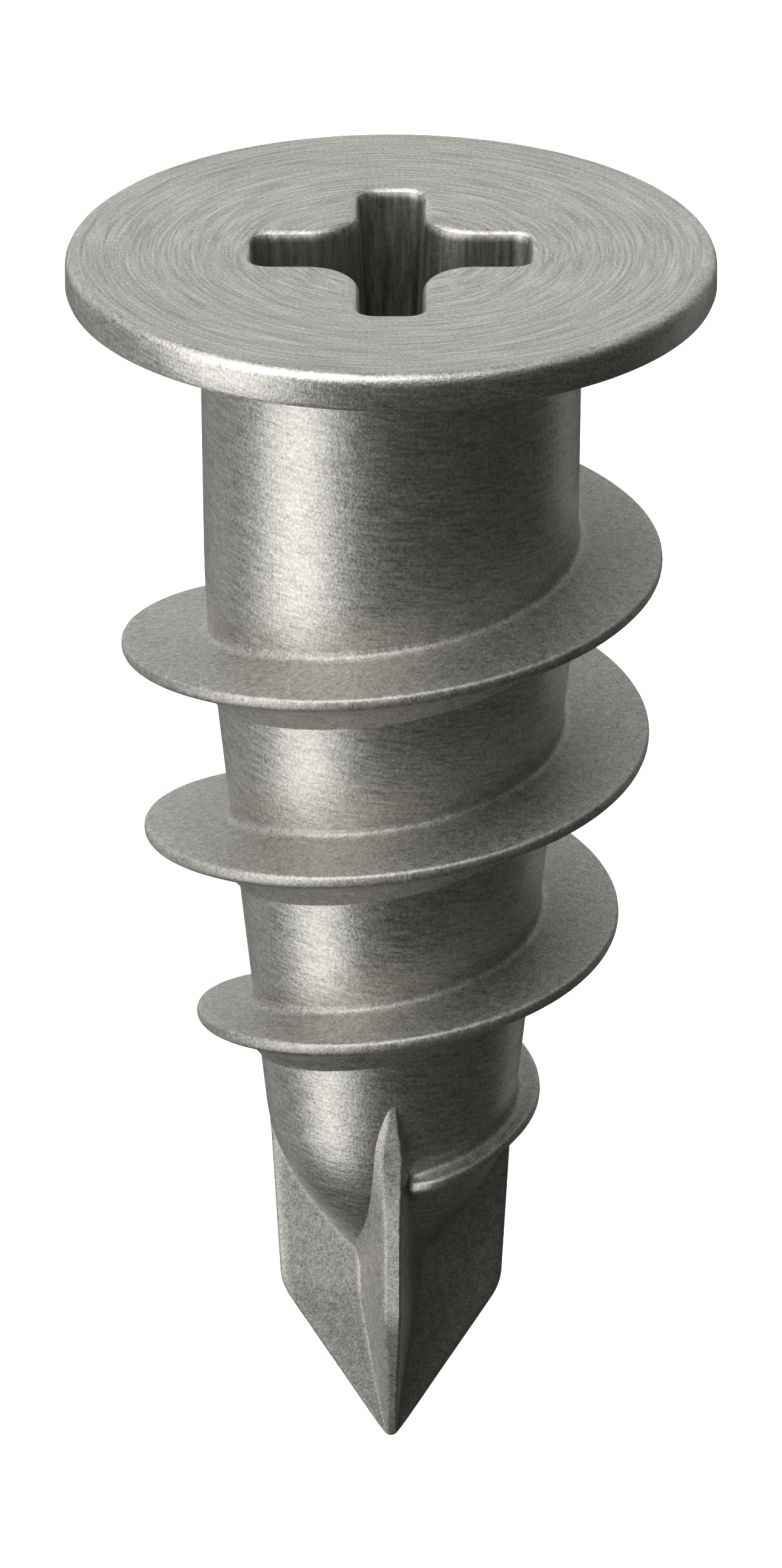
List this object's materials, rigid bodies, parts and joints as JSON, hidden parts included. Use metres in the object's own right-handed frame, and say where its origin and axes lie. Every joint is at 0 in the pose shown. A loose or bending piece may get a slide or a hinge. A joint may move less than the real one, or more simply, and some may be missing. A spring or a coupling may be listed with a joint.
{
  "type": "self-drilling wall anchor",
  "caption": "Cast zinc self-drilling wall anchor: round flange with a cross recess, tapered barrel with a deep helical thread, screw bore and bladed drill point.",
  "frame": {"origin": "centre of the flange's outer face, where the fixture rests", "axes": "+Z along the barrel's axis, out of the wall towards the screwdriver; the drill point lies at -Z; +X and +Y run along the wings of the cross recess and along the drill blades"},
  "size_m": [0.0159, 0.0158, 0.0318],
  "materials": {
    "turned_zinc": "satin, fine concentric turning marks",
    "barrel_zinc": "satin, fine brushed marks round the barrel",
    "cast_zinc": "satin, fine-grained as cast"
  },
  "bodies": {
    "root": {"head_flange": "turned_zinc", "drive_sleeve": "barrel_zinc", "screw_core": "barrel_zinc", "thread_flight": "cast_zinc", "nose_cone": "barrel_zinc", "blade_right": "cast_zinc", "blade_front": "cast_zinc", "blade_left": "cast_zinc", "blade_back": "cast_zinc"}
  },
  "joints": []
}
